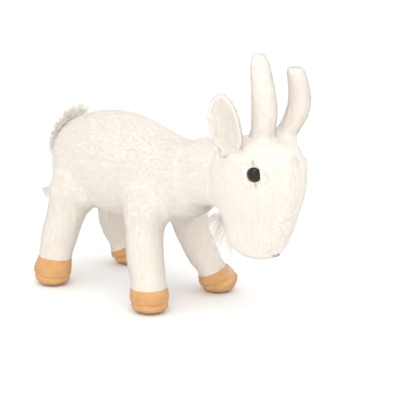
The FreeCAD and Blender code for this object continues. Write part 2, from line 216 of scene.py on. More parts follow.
def subdivided(thing):
    """Divide every face of the object once, smoothly."""
    finer = thing.modifiers.new("Subdivision", "SUBSURF")
    finer.levels = finer.render_levels = 1
    return settled(thing)


def nearest_node(points, nodes):
    """For each point, the place in the list of the CAD node whose surface is nearest."""
    gaps = np.empty((len(nodes), len(points)))
    for row, node in enumerate(nodes):
        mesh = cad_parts[node].data
        tree = BVHTree.FromPolygons([v.co for v in mesh.vertices],
                                    [p.vertices[:] for p in mesh.polygons])
        gaps[row] = [tree.find_nearest(Vector(p))[3] for p in points]
    return gaps.argmin(0)


def seam_points(mesh, nodes):
    """Indexes of the vertices where the nearest CAD panel changes: the sewn seams."""
    panel = nearest_node(coords(mesh), nodes)
    ends = np.empty(len(mesh.edges) * 2, np.int32)
    mesh.edges.foreach_get("vertices", ends)
    ends = ends.reshape(-1, 2)
    crossing = ends[panel[ends[:, 0]] != panel[ends[:, 1]]]
    return np.unique(crossing)


def distance_to(points, others):
    """Each point's distance to the nearest of the others."""
    tree = KDTree(len(others))
    for i, other in enumerate(others):
        tree.insert(other, i)
    tree.balance()
    return np.array([tree.find(p)[2] for p in points])


def puffed(thing, held, cap):
    """Blow the skin up as stuffed cloth held at its seams; no point moves more than cap."""
    before = coords(thing.data)
    group = thing.vertex_groups.new(name="seams")
    group.add([int(i) for i in held], 1.0, "REPLACE")
    cloth = thing.modifiers.new("Cloth", "CLOTH")
    cloth.settings.use_pressure = True
    cloth.settings.uniform_pressure_force = PRESSURE
    cloth.settings.effector_weights.gravity = 0
    cloth.settings.vertex_group_mass = "seams"
    cloth.point_cache.frame_end = SIM_FRAMES
    for step in range(1, SIM_FRAMES + 1):
        scene.frame_set(step)
    settled(thing)
    scene.frame_set(1)
    thing.vertex_groups.clear()
    moved = coords(thing.data) - before
    far = np.linalg.norm(moved, axis=1, keepdims=True)
    move_to(thing.data, before + moved * np.minimum(1, cap / np.maximum(far, 1e-9)))
    return thing


PRESSURE = 4.0
SIM_FRAMES = 20


# ---------------------------------------------------------------- materials
def material(name, colour, rough, **sockets):
    """A Principled material; sockets are names with spaces as underscores."""
    made = bpy.data.materials.new(name)
    made.use_nodes = True
    shader = made.node_tree.nodes["Principled BSDF"]
    shader.inputs["Base Color"].default_value = (*colour, 1)
    shader.inputs["Roughness"].default_value = rough
    for socket, value in sockets.items():
        shader.inputs[socket.replace("_", " ")].default_value = value
    return made


def mottled(made, dark, light, scale, bump, bump_scale):
    """Mix two colours by noise at that scale, and add a fine noise bump."""
    nodes, links = made.node_tree.nodes, made.node_tree.links
    shader = nodes["Principled BSDF"]
    where = nodes.new("ShaderNodeTexCoord")
    cloud = nodes.new("ShaderNodeTexNoise")
    cloud.inputs["Scale"].default_value = scale
    cloud.inputs["Detail"].default_value = 4
    ramp = nodes.new("ShaderNodeValToRGB")
    ramp.color_ramp.elements[0].color = (*dark, 1)
    ramp.color_ramp.elements[1].color = (*light, 1)
    ramp.color_ramp.elements[0].position = 0.3
    ramp.color_ramp.elements[1].position = 0.7
    fine = nodes.new("ShaderNodeTexNoise")
    fine.inputs["Scale"].default_value = bump_scale
    fine.inputs["Detail"].default_value = 3
    relief = nodes.new("ShaderNodeBump")
    relief.inputs["Strength"].default_value = bump
    relief.inputs["Distance"].default_value = 0.5 * MM
    links.new(where.outputs["Object"], cloud.inputs["Vector"])
    links.new(where.outputs["Object"], fine.inputs["Vector"])
    links.new(cloud.outputs["Fac"], ramp.inputs["Fac"])
    links.new(ramp.outputs["Color"], shader.inputs["Base Color"])
    links.new(fine.outputs["Fac"], relief.inputs["Height"])
    links.new(relief.outputs["Normal"], shader.inputs["Normal"])
    return made


def tints(name, colour, spread, rough, **sockets):
    """Four materials of one pile: the colour itself and three a little darker."""
    return [material(f"{name}_{i}", [c * (1 - spread * share) for c in colour], rough, **sockets)
            for i, share in enumerate((0.0, 0.35, 0.7, 1.0))]


WHITE = (0.96, 0.895, 0.81)
FLEECE = (0.975, 0.925, 0.825)
TAN = (0.92, 0.53, 0.235)

plush = mottled(material("white_plush", WHITE, 1.0, Sheen_Weight=0.3, Sheen_Roughness=0.5),
                (0.92, 0.85, 0.755), WHITE, 45, 0.35, 1500)
lining = mottled(material("ear_lining_plush", WHITE, 1.0, Sheen_Weight=0.3, Sheen_Roughness=0.5),
                 (0.90, 0.835, 0.745), (0.945, 0.88, 0.795), 60, 0.35, 1500)
hoof = mottled(material("tan_plush", TAN, 1.0, Sheen_Weight=0.25, Sheen_Roughness=0.5),
               (0.80, 0.43, 0.17), TAN, 160, 0.4, 1800)
fleece = mottled(material("tail_backing", FLEECE, 1.0, Sheen_Weight=0.3, Sheen_Roughness=0.5),
                 (0.90, 0.85, 0.75), FLEECE, 120, 0.4, 1500)
white_pile = tints("white_pile", WHITE, 0.045, 0.95, Sheen_Weight=0.25, Sheen_Roughness=0.5)
lining_pile = tints("lining_pile", (0.95, 0.885, 0.80), 0.08, 0.95, Sheen_Weight=0.25,
                    Sheen_Roughness=0.5)
tan_pile = tints("tan_pile", TAN, 0.16, 0.95, Sheen_Weight=0.2, Sheen_Roughness=0.5)
tail_hair = tints("tail_hair", (0.995, 0.945, 0.85), 0.05, 0.8, Sheen_Weight=1.0,
                  Sheen_Roughness=0.5)
beard_hair = tints("beard_hair", (0.99, 0.935, 0.85), 0.04, 0.8, Sheen_Weight=0.6,
                   Sheen_Roughness=0.5)
eye_gloss = mottled(material("eye_gloss", (0.01, 0.006, 0.005), 0.05, IOR=1.5,
                             Specular_IOR_Level=0.4),
                    (0.004, 0.002, 0.002), (0.016, 0.007, 0.005), 300, 0.0, 10)
washer = mottled(material("washer_plastic", (0.7, 0.7, 0.68), 0.4), (0.62, 0.62, 0.6),
                 (0.72, 0.72, 0.7), 200, 0.1, 900)
mouth_thread = mottled(material("mouth_thread", (0.44, 0.44, 0.41), 0.8), (0.34, 0.34, 0.32),
                       (0.52, 0.52, 0.49), 2500, 0.5, 3000)
ribbon = mottled(material("woven_ribbon", (0.66, 0.67, 0.62), 0.7), (0.60, 0.61, 0.56),
                 (0.70, 0.71, 0.66), 700, 0.5, 2600)


def dress(thing, *looks):
    """Give the object these materials, smooth shaded."""
    thing.data.materials.clear()
    for look in looks:
        thing.data.materials.append(look)
    thing.data.polygons.foreach_set("use_smooth", [True] * len(thing.data.polygons))
    return thing


# ---------------------------------------------------------------- pile
def scattered(mesh, gap, rng):
    """Random points on the mesh about gap apart, with the surface normals there."""
    mesh.calc_loop_triangles()
    corners = np.empty(len(mesh.loop_triangles) * 3, np.int32)
    mesh.loop_triangles.foreach_get("vertices", corners)
    corners = corners.reshape(-1, 3)
    points, directions = coords(mesh), normals(mesh)
    a, b, c = (points[corners[:, i]] for i in range(3))
    areas = np.linalg.norm(np.cross(b - a, c - a), axis=1) / 2
    count = int(areas.sum() / gap**2)
    reach = np.cumsum(areas)
    steps = (np.arange(count) + rng.random(count)) / count * reach[-1]
    chosen = np.minimum(np.searchsorted(reach, steps), len(areas) - 1)
    u, v = rng.random((2, count))
    over = u + v > 1
    u[over], v[over] = 1 - u[over], 1 - v[over]
    shares = np.stack([1 - u - v, u, v], 1)
    where = np.einsum("nk,nkj->nj", shares, points[corners[chosen]])
    facing = unit(np.einsum("nk,nkj->nj", shares, directions[corners[chosen]]))
    return where, facing


def across(directions, rng):
    """Two random unit vectors square to each direction and to each other."""
    first = unit(np.cross(directions, rng.normal(size=directions.shape)))
    return first, np.cross(directions, first)


def tufts(name, where, facing, nap, length, width, rng, looks):
    """Short pile: a thin three-sided tuft at each point, leaning along the nap."""
    count = len(where)
    nap = np.broadcast_to(nap, where.shape)
    along = nap - facing * np.sum(nap * facing, axis=1, keepdims=True)
    size = np.linalg.norm(along, axis=1, keepdims=True)
    along = np.where(size > 0.15, along / np.maximum(size, 1e-9), along)
    lean = unit(facing + along * NAP_LEAN + rng.normal(size=where.shape) * NAP_MESS)
    length = np.broadcast_to(length, count) * rng.uniform(0.7, 1.15, count)
    side, other = across(facing, rng)
    root = where - facing * ROOT_SINK
    points = np.empty((count, 4, 3))
    for corner in range(3):
        angle = corner * math.tau / 3
        points[:, corner] = root + width / 2 * (side * math.cos(angle) + other * math.sin(angle))
    points[:, 3] = root + lean * (length + ROOT_SINK)[:, None]
    base = np.arange(count)[:, None, None] * 4
    faces = (base + np.array([[0, 1, 3], [1, 2, 3], [2, 0, 3]])[None]).reshape(-1, 3)
    mesh = from_arrays(name, points.reshape(-1, 3), faces)
    own = unit(points - (points[:, :3].mean(1, keepdims=True) - facing[:, None] * width))
    shading = unit(facing[:, None] * (1 - TUFT_SHAPE) + own * TUFT_SHAPE)
    mesh.normals_split_custom_set_from_vertices(shading.reshape(-1, 3))
    thing = dress(link(name, mesh), *looks)
    shade = np.repeat(rng.integers(0, len(looks), count), 3)
    thing.data.polygons.foreach_set("material_index", shade.astype(np.int32))
    return thing


def from_arrays(name, points, faces):
    """A mesh of triangles or quads from arrays."""
    mesh = bpy.data.meshes.new(name)
    corners = faces.shape[1]
    mesh.vertices.add(len(points))
    mesh.loops.add(faces.size)
    mesh.polygons.add(len(faces))
    mesh.vertices.foreach_set("co", np.asarray(points, np.float32).ravel())
    mesh.loops.foreach_set("vertex_index", faces.astype(np.int32).ravel())
    mesh.polygons.foreach_set("loop_start", np.arange(len(faces), dtype=np.int32) * corners)
    mesh.update(calc_edges=True)
    return mesh


NAP_LEAN = 0.8
NAP_MESS = 0.2
ROOT_SINK = 0.3 * MM
TUFT_SHAPE = 0.15


def strands(name, paths, thick, rng, looks, facing, shape):
    """Long hairs: a tapering three-sided tube along each path (hair, point, xyz).

    Each is shaded by its own round shape and by the way its lock faces; shape is the share of
    the first.
    """
    count, rings = paths.shape[:2]
    flow = unit(np.gradient(paths, axis=1))
    side = unit(np.cross(flow, unit(rng.normal(size=(count, 1, 3)))))
    other = np.cross(flow, side)
    taper = (1 - np.linspace(0, 1, rings) ** 1.6 * 0.85)[None, :, None]
    radius = np.broadcast_to(thick, count)[:, None, None] / 2 * taper
    points = np.empty((count, rings, 3, 3))
    for corner in range(3):
        angle = corner * math.tau / 3
        points[:, :, corner] = paths + radius * (side * math.cos(angle) + other * math.sin(angle))
    faces = []
    for ring in range(rings - 1):
        for corner in range(3):
            following = (corner + 1) % 3
            low, high = ring * 3, ring * 3 + 3
            faces.append((low + corner, low + following, high + following, high + corner))
    faces = np.array(faces)[None] + np.arange(count)[:, None, None] * rings * 3
    mesh = from_arrays(name, points.reshape(-1, 3), faces.reshape(-1, 4))
    own = unit(points - paths[:, :, None])
    shading = unit(facing[:, None, None] * (1 - shape) + own * shape)
    mesh.normals_split_custom_set_from_vertices(shading.reshape(-1, 3))
    thing = dress(link(name, mesh), *looks)
    shade = np.repeat(rng.integers(0, len(looks), count), 3 * (rings - 1))
    thing.data.polygons.foreach_set("material_index", shade.astype(np.int32))
    return thing


# ---------------------------------------------------------------- the body's skin
HOOF_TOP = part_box("front_left_hoof_band")[1][2]
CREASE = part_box("front_left_hoof_sole")[1][2]
COVERS = ["torso_side_left", "torso_side_right", "belly_gusset", "neck_cover",
          "head_side_left", "head_side_right", "face_gusset", "chin_panel",
          "horn_left_cover", "horn_right_cover"]
COVERS += [f"{corner}_leg_cover" for corner in CORNERS]
COVERS += [f"{corner}_hoof_{part}" for corner in CORNERS for part in ("band", "sole")]
FILLINGS = ["torso_stuffing", "neck_stuffing", "head_stuffing", "horn_left_stuffing",
            "horn_right_stuffing"]
FILLINGS += [f"{corner}_leg_stuffing" for corner in CORNERS]

HOOF_LEAN = 1.7
# For each hoof: how much higher its cloth reaches (mm), its lean to +X and +Y, its swell (mm).
HOOF_SET = {"front_left": (-2.0, (-0.07, 0.06), 1.4), "front_right": (0.0, (0, 0), 0.8),
            "rear_left": (-4.5, (-0.2, 0.2), 0.6), "rear_right": (4.0, (0.09, -0.08), 0.8)}
SKIN_VOXEL = 3.2 * MM
SKIN_INSET = 1.3 * MM
PUFF_CAP = 1.2 * MM


def ear_root(side):
    """The middle of the ear's rolled root."""
    low, high = (np.array(p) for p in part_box(f"ear_{side}_back"))
    sign = 1 if side == "left" else -1
    inner = low[0] if side == "left" else high[0]
    return np.array((inner + sign * 5.5 * MM, (low[1] + high[1]) / 2 + 0.5 * MM, low[2] + 3 * MM))


# Where the skin is cut into its pieces.
NECK_CUTS = [-32.3 * MM, -58.3 * MM, -84.3 * MM]
HORN_CUT = 158 * MM
HIP_LOW, HIP_HIGH = (10 * MM, 58 * MM), (48 * MM, 74 * MM)
MID_Y = 40 * MM
HOOF_REACH = 35 * MM


def corner_of(place):
    """The name of the corner whose leg is over that place on the ground."""
    return f"{'front' if place[1] < MID_Y else 'rear'}_{'left' if place[0] > 0 else 'right'}"


def hip_plane(side):
    """A point and the downward normal of the slanted plane over that side's legs."""
    sign = 1 if side == "left" else -1
    run, climb = HIP_HIGH[0] - HIP_LOW[0], HIP_HIGH[1] - HIP_LOW[1]
    normal = unit((sign * climb, 0.0, -run))
    return np.array((sign * HIP_LOW[0], 0.0, HIP_LOW[1])), normal


def hoof_axis(corner):
    """The middle of the sole, and the way up along the leaning hoof."""
    band, sole = ((np.array(low) + np.array(high)) / 2
                  for low, high in (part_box(f"{corner}_hoof_{part}") for part in ("band", "sole")))
    way = band - sole
    way[:2] *= HOOF_LEAN
    return np.array((sole[0], sole[1], 0.0)), unit(unit(way) + np.array((*HOOF_SET[corner][1], 0)))


def hoof_top(corner):
    """How far up its leaning axis the hoof's cloth reaches."""
    return HOOF_TOP + HOOF_SET[corner][0] * MM


def hoof_height(points, corner):
    """How far up the leaning hoof each point is."""
    foot, way = hoof_axis(corner)
    return (points - foot) @ way


def cut_skin(bm, place, normal, wanted=lambda middle: True):
    """Cut the faces whose middles are wanted along a plane; nothing is removed."""
    faces = [f for f in bm.faces if wanted(f.calc_center_median())]
    edges = list({e for f in faces for e in f.edges})
    geom = faces + edges + list({v for f in faces for v in f.verts})
    bmesh.ops.bisect_plane(bm, geom=geom, plane_co=place, plane_no=normal, dist=1e-6)


# A mound of stuffing under each ear's root: how far it is raised, and its half sizes.
MOUND_RISE, MOUND = 0.5 * MM, (7.5 * MM, 12 * MM, 8.5 * MM)
ear_lumps = [(tuple(ear_root(side) + UP * MOUND_RISE), MOUND) for side in SIDES]
skin = skinned("whole_skin", COVERS + FILLINGS, SKIN_VOXEL, SKIN_INSET, lumps=ear_lumps)
points = coords(skin.data)
x, y, z = np.abs(points[:, 0]), points[:, 1], points[:, 2]
# How much each point belongs to the neck, the tops of the legs and the roots of the horns.
neck_zone = rise(y, -124 * MM, -102 * MM) * (1 - rise(y, -16 * MM, 8 * MM))
neck_zone *= rise(z, 88 * MM, 100 * MM)
hip_zone = rise(z, 46 * MM, 66 * MM) * (1 - rise(z, 112 * MM, 128 * MM))
hip_zone *= rise(y, -50 * MM, -40 * MM)
hip_zone *= 0.35 + 0.65 * rise(x, 20 * MM, 34 * MM)
root_zone = rise(z, 138 * MM, 146 * MM) * (1 - rise(z, 162 * MM, 172 * MM))
root_zone *= 1 - rise(y, -100 * MM, -90 * MM)
filled(skin.data, 0.6 * neck_zone, 60)
smoothed(skin.data, 0.5 * neck_zone, 25)
filled(skin.data, 0.6 * hip_zone, 70)
smoothed(skin.data, 0.5 * hip_zone, 14)
filled(skin.data, 0.5 * root_zone, 10)
ear_feet = [ear_root(side) - UP * 3 * MM for side in SIDES]
ear_zone = 1 - rise(distance_to(points, ear_feet), 9 * MM, 19 * MM)
filled(skin.data, 0.6 * ear_zone, 30)
smoothed(skin.data, 0.5 * (1 - rise(z, 4 * MM, 16 * MM)), 10)
seams = seam_points(skin.data, COVERS)
puffed(skin, seams, PUFF_CAP)
smoothed(skin.data, 0.4, 3)
seam_line = coords(skin.data)[seams]
subdivided(skin)


def eye_centre(side):
    """The middle of the eye's dome, and the way it looks."""
    low, high = (np.array(p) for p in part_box(f"eye_{side}"))
    sign = 1 if side == "left" else -1
    middle = (low + high) / 2
    middle[0] = (high[0] if side == "left" else low[0]) - sign * 4 * MM
    return middle, unit((sign * math.cos(EYE_TURN), -math.sin(EYE_TURN), 0.0))


EYE_TURN = math.radians(27)
LID_TILT = math.radians(11)
# Where the stuffing swells the skin: a place, how far it reaches and how far it moves, in mm.
SHAPING = [((0, 56, 153), (60, 45, 28), (0, 0, 4.4)),  # back
           ((0, -48, 150), (40, 26, 22), (0, 0, 2.4)),  # top of the neck
           ((48, 100, 50), (24, 24, 38), (2.6, 3.6, 0)),  # left thigh
           ((-48, 100, 50), (24, 24, 38), (-2.6, 3.6, 0)),  # right thigh
           ((0, -66, 86), (26, 15, 9), (0, 0, 5.5)),  # underside of the neck, drawn in
           ((0, -150, 83), (40, 26, 9), (0, -3.6, 0))]  # muzzle
# For each horn, in mm: how much thicker, how much wider at the tip, its lean, and its top.
HORN_SET = {"left": (0.7, 0.9, (1.9, -2.0, 0), 211.5), "right": (1.0, 0.3, (0.6, -0.9, 0), 240)}
HORN_STRETCH = 0.05


def eye_slit(look):
    """The way along the slit the eye sits in, and the way across it."""
    level = unit(np.cross(look, UP))
    level *= np.sign(level[1])
    along = UP * math.cos(LID_TILT) + level * math.sin(LID_TILT)
    return along, np.cross(look, along)


def flat_side(facing):
    """1 where the surface stands upright, 0 where it faces up or down."""
    return 1 - rise(np.abs(facing[:, 2]), 0.5, 0.85)


bm = bmesh.new()
bm.from_mesh(skin.data)
eyes = [Vector(eye_centre(side)[0]) for side in SIDES]
fine_edges = [e for e in bm.edges if max(v.co.z for v in e.verts) < HOOF_TOP - 1 * MM
              or min((e.verts[0].co - eye).length for eye in eyes) < 16 * MM]
bmesh.ops.subdivide_edges(bm, edges=fine_edges, cuts=1, use_grid_fill=True)
bm.to_mesh(skin.data)
bm.free()
points, facing = coords(skin.data), normals(skin.data)
for side in SIDES:
    middle, look = eye_centre(side)
    offset = points - middle
    along, beside = eye_slit(look)
    run, gap = offset @ along / MM, np.abs(offset @ beside) / MM
    close = np.linalg.norm(offset, axis=1) < 22 * MM
    lid = 3.4 * np.exp(-((gap - 6.6) / 2.4) ** 2) * np.exp(-(run / 7.5) ** 2)
    ends = rise(np.abs(run), 5, 7) * (1 - rise(np.abs(run), 9, 12.5))
    slit = 2.0 * np.exp(-(gap / 1.0) ** 2) * ends
    points += look * ((lid - slit) * close)[:, None] * MM
level = flat_side(facing)
for corner in CORNERS:
    sign_x, sign_y = (1 if "left" in corner else -1), (-1 if "front" in corner else 1)
    there = (points[:, 0] * sign_x > 0) & ((points[:, 1] - MID_Y) * sign_y > 0)
    there &= points[:, 2] < HOOF_REACH
    up = hoof_height(points, corner)
    groove = np.exp(-((up - CREASE) / (1.1 * MM)) ** 2) * there * level
    swell = np.exp(-((up - CREASE + 4 * MM) / (2.5 * MM)) ** 2) * there * level
    top = hoof_top(corner)
    full = HOOF_SET[corner][2] * (1 - rise(up, top - 4 * MM, top + 2 * MM))
    points += facing * (0.5 * swell - 1.6 * groove + full * there)[:, None] * MM
nose = (1 - rise(points[:, 1], -146 * MM, -138 * MM)) * (points[:, 2] < 120 * MM)
fold = np.exp(-((points[:, 2] - 92 * MM) / (2.6 * MM)) ** 2)
tip = np.exp(-((points[:, 2] - 82 * MM) / (7 * MM)) ** 2)
points += facing * ((1.0 * tip - 1.5 * fold) * nose)[:, None] * MM
for place, radii, shift in SHAPING:
    away = (points - np.array(place) * MM) / (np.array(radii) * MM)
    points += np.exp(-np.sum(away**2, axis=1))[:, None] * np.array(shift) * MM
for side, sign in zip(SIDES, (1, -1)):
    thicker, wider, shift, top = HORN_SET[side]
    mine = (points[:, 2] > HORN_CUT - 4 * MM) & (points[:, 0] * sign > 0)
    climb = np.where(mine, rise(points[:, 2], HORN_CUT - 4 * MM, HORN_CUT + 16 * MM), 0)
    flare = rise(points[:, 2], 192 * MM, 207 * MM)
    points += facing * ((thicker + wider * flare) * climb)[:, None] * MM
    points += climb[:, None] * np.array(shift) * MM
    points[:, 2] += climb * HORN_STRETCH * (points[:, 2] - HORN_CUT)
    points[mine, 2] = np.minimum(points[mine, 2], top * MM)
points[:, 2] = np.maximum(points[:, 2], 0.8 * MM)
move_to(skin.data, points)

bm = bmesh.new()
bm.from_mesh(skin.data)
for side, sign in zip(SIDES, (1, -1)):
    cut_skin(bm, *hip_plane(side), lambda middle: middle.x * sign > 0)
for cut in NECK_CUTS:
    cut_skin(bm, (0, cut, 0), (0, 1, 0))
for corner in CORNERS:
    foot, way = hoof_axis(corner)
    cut_skin(bm, foot + way * hoof_top(corner), way,
             lambda middle: middle.z < HOOF_REACH and corner_of(middle) == corner)
cut_skin(bm, (0, 0, HORN_CUT), (0, 0, 1))
cut_skin(bm, (0, 0, 0), (1, 0, 0), lambda middle: middle.z > HORN_CUT)
bm.to_mesh(skin.data)
bm.free()

whole_normals = normals(skin.data)
middles = np.empty(len(skin.data.polygons) * 3, np.float32)
skin.data.polygons.foreach_get("center", middles)
middles = middles.reshape(-1, 3).astype(float)
kind = np.full(len(middles), 0)
for step, cut in enumerate(NECK_CUTS):
    kind[middles[:, 1] < cut] = step + 1
for number, corner in enumerate(CORNERS):
    origin, normal = hip_plane(corner.split("_")[1])
    under = (middles - origin) @ normal > 0
    beside = middles[:, 0] * (1 if "left" in corner else -1) > 0
    there = (middles[:, 1] < MID_Y) == corner.startswith("front")
    leg = under & beside & there & (middles[:, 1] > NECK_CUTS[1])
    kind[leg] = 4 + number
    kind[leg & (hoof_height(middles, corner) < hoof_top(corner))] = 8 + number
for number, sign in enumerate((1, -1)):
    over = (middles[:, 2] > HORN_CUT) & (middles[:, 1] < NECK_CUTS[2])
    kind[over & (middles[:, 0] * sign > 0)] = 12 + number
PIECES = ["torso_skin", "neck_rear_skin", "neck_front_skin", "head_skin"]
PIECES += [f"{corner}_leg_skin" for corner in CORNERS]
PIECES += [f"{corner}_hoof_skin" for corner in CORNERS]
PIECES += [f"horn_{side}_skin" for side in SIDES]


def part_of(name, which):
    """A new object with the whole skin's faces of that kind, shaded as they were."""
    mesh = skin.data.copy()
    mesh.name = name
    bm = bmesh.new()
    bm.from_mesh(mesh)
    bm.faces.ensure_lookup_table()
    spare = [bm.faces[int(i)] for i in np.flatnonzero(kind != which)]
    kept = {v.index for f in bm.faces if kind[f.index] == which for v in f.verts}
    bmesh.ops.delete(bm, geom=spare, context="FACES")
    bm.to_mesh(mesh)
    bm.free()
    order = np.array(sorted(kept))
    thing = dress(link(name, mesh), hoof if "hoof" in name else plush)
    mesh.normals_split_custom_set_from_vertices(whole_normals[order])
    return thing


skins = {name: part_of(name, which) for which, name in enumerate(PIECES)}
bpy.data.objects.remove(skin)

# ---------------------------------------------------------------- body pile
# For each region: pile gap, length and width, and the way that the nap lies.
NAP = {"torso": (1.0, 2.0, 0.8, (0, 0.7, -0.7)), "neck": (1.0, 2.0, 0.8, (0, 0.8, -0.6)),
       "head": (0.9, 1.35, 0.75, (0, 0.75, -0.3)), "leg": (1.0, 1.8, 0.8, (0, 0, -1)),
       "hoof": (0.75, 1.5, 0.6, (0, 0, -1)), "horn": (0.9, 1.7, 0.7, (0, 0, 1))}


def body_pile(name, seed):
    """Pile over one piece of the body's skin, thin at the seams and round the eyes."""
    rng = np.random.default_rng(seed)
    region = next(key for key in NAP if key in name)
    if "hoof" in name:
        region = "hoof"
    gap, long, wide, nap = NAP[region]
    where, facing = scattered(skins[name].data, gap * MM, rng)
    length = np.full(len(where), long * MM)
    if region != "hoof":
        length *= 0.75 + 0.25 * rise(distance_to(where, seam_line), 0.5 * MM, 3 * MM)
    else:
        up = hoof_height(where, name.replace("_hoof_skin", ""))
        length *= 0.5 + 0.5 * rise(np.abs(up - CREASE), 0.3 * MM, 1.8 * MM)
    keep = np.full(len(where), True)
    for side in SIDES:
        middle, look = eye_centre(side)
        away = np.linalg.norm(where - middle, axis=1)
        keep &= away > 4.6 * MM
        length *= 0.4 + 0.6 * rise(away, 5.5 * MM, 9 * MM)
    return tufts(name.replace("skin", "pile"), where[keep], facing[keep], np.array(nap, float),
                 length[keep], wide * MM, rng, tan_pile if region == "hoof" else white_pile)


piles = {name: body_pile(name, 100 + i) for i, name in enumerate(PIECES)}


def neck_blend(thing):
    """Bake the neck piece's place into its mesh, where it stays; it rides on no body."""
    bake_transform(thing)


def hip_blend(thing):
    """Bake the top of the leg's place into its mesh, where it stays; it rides on no body."""
    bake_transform(thing)


for group in (skins, piles):
    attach(group["torso_skin"], "torso")
    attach(group["head_skin"], "head")
    neck_blend(group["neck_rear_skin"])
    neck_blend(group["neck_front_skin"])
    for corner in CORNERS:
        hip_blend(group[f"{corner}_leg_skin"])
        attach(group[f"{corner}_hoof_skin"], f"{corner}_leg")
    for side in SIDES:
        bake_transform(group[f"horn_{side}_skin"])
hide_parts("torso_side_left", "torso_side_right", "belly_gusset",
            "torso_stuffing")
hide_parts("neck_cover", "neck_stuffing")
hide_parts("head_side_left", "head_side_right", "face_gusset", "chin_panel",
            "head_stuffing")
for corner in CORNERS:
    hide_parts(f"{corner}_leg_cover", f"{corner}_leg_stuffing")
    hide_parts(f"{corner}_hoof_band", f"{corner}_hoof_sole")
for side in SIDES:
    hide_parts(f"horn_{side}_cover", f"horn_{side}_stuffing")


# ---------------------------------------------------------------- ears
EAR_LAYERS = ("back", "lining")


def ear(side, seed):
    """One ear: a soft leaf in two layers that share their edge, with pile on both."""
    nodes = [f"ear_{side}_{layer}" for layer in EAR_LAYERS]
    whole = skinned(f"ear_{side}", nodes, 1.1 * MM, 0.2 * MM, 8)
    everywhere = np.full(len(whole.data.vertices), 0.5)
    filled(whole.data, everywhere * (coords(whole.data)[:, 2] < ear_root(side)[2] + 14 * MM), 25)
    points = coords(whole.data)
    root = ear_root(side)
    wide = 1.1 + 0.2 * np.exp(-((points[:, 2] - root[2] - 7 * MM) / (9 * MM)) ** 2)
    points[:, 1] = root[1] + (points[:, 1] - root[1]) * wide
    move_to(whole.data, points)
    shading = normals(whole.data)
    middles = np.array([p.center for p in whole.data.polygons])
    layer_of = nearest_node(middles, nodes)
    for number, layer in enumerate(EAR_LAYERS):
        mesh = whole.data.copy()
        bm = bmesh.new()
        bm.from_mesh(mesh)
        bm.faces.ensure_lookup_table()
        kept = {v.index for f in bm.faces if layer_of[f.index] == number for v in f.verts}
        spare = [f for f in bm.faces if layer_of[f.index] != number]
        bmesh.ops.delete(bm, geom=spare, context="FACES")
        bm.to_mesh(mesh)
        bm.free()
        cloth = lining if layer == "lining" else plush
        thing = dress(link(f"ear_{side}_{layer}_skin", mesh), cloth)
        rng = np.random.default_rng(seed + number)
        where, facing = scattered(mesh, 0.85 * MM, rng)
        rim = rise(distance_to(where, coords(mesh)[edge_points(mesh)]), 0.5 * MM, 4 * MM)
        long = (1.9 - 0.5 * rim) * MM if layer == "back" else (1.2 + 0.4 * rim) * MM
        fur = tufts(f"ear_{side}_{layer}_pile", where, facing, UP, long, 0.7 * MM, rng,
                    lining_pile if layer == "lining" else white_pile)
        mesh.normals_split_custom_set_from_vertices(shading[np.array(sorted(kept))])
        for each in (thing, fur):
            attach(each, f"ear_{side}")
        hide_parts(f"ear_{side}_{layer}")
    bpy.data.objects.remove(whole)


def edge_points(mesh):
    """Indexes of the vertices on the mesh's open edge."""
    bm = bmesh.new()
    bm.from_mesh(mesh)
    found = [v.index for v in bm.verts if v.is_boundary]
    bm.free()
    return np.array(found)


for number, side in enumerate(SIDES):
    ear(side, 310 + 10 * number)

# ---------------------------------------------------------------- tail
TAIL_GAP, CLUMP_GAP, CLUMP_SCATTER = 0.8 * MM, 3.4 * MM, 0.25
TAIL_HAIR, TAIL_THICK = 10.5 * MM, 0.34 * MM
OVER_RUMP = np.array((0, -0.8, 0.1))  # the tail's sides lie over the rump
rng = np.random.default_rng(400)
tail = dress(skinned("tail_core", ["tail"], 1.5 * MM, 2.0 * MM), fleece)
where, facing = scattered(tail.data, TAIL_GAP, rng)
low, high = (np.array(p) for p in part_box("tail"))
root = np.array((0.0, low[1] + 6 * MM, high[2] - 10 * MM))
clumps, clump_facing = scattered(tail.data, CLUMP_GAP, rng)
tree = KDTree(len(clumps))
for i, clump in enumerate(clumps):
    tree.insert(clump, i)
tree.balance()
near = np.array([tree.find(p)[1] for p in where])
scatter = rng.normal(size=clumps.shape) * CLUMP_SCATTER
outward = unit(clump_facing + unit(clumps - root) * 0.6 + scatter)
long = TAIL_HAIR * rng.uniform(0.6, 1.15, len(clumps))
long *= np.where(rng.random(len(clumps)) < 0.16, 1.45, 1.0)
long *= 1 - 0.62 * np.clip(outward[:, 1], 0, 1) + 0.3 * np.abs(outward[:, 0])
outward += np.abs(outward[:, :1]) * OVER_RUMP
ends = clumps + unit(outward) * long[:, None]
over = np.abs(facing[:, :1]) * OVER_RUMP
aim = unit(facing + over + unit(where - root) * 0.5 + rng.normal(size=where.shape) * 0.15)
tips = where + aim * long[near][:, None] * rng.uniform(0.7, 1.0, len(where))[:, None]
tips = tips * 0.55 + ends[near] * 0.45
t = np.linspace(0, 1, 5)[None, :, None]
paths = where[:, None] * (1 - t) + tips[:, None] * t
paths += facing[:, None] * (t * (1 - t)) * 3 * MM
tail_fur = strands("tail_fur", paths, TAIL_THICK, rng, tail_hair, facing, 1.0)
for each in (tail, tail_fur):
    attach(each, "tail")
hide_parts("tail")

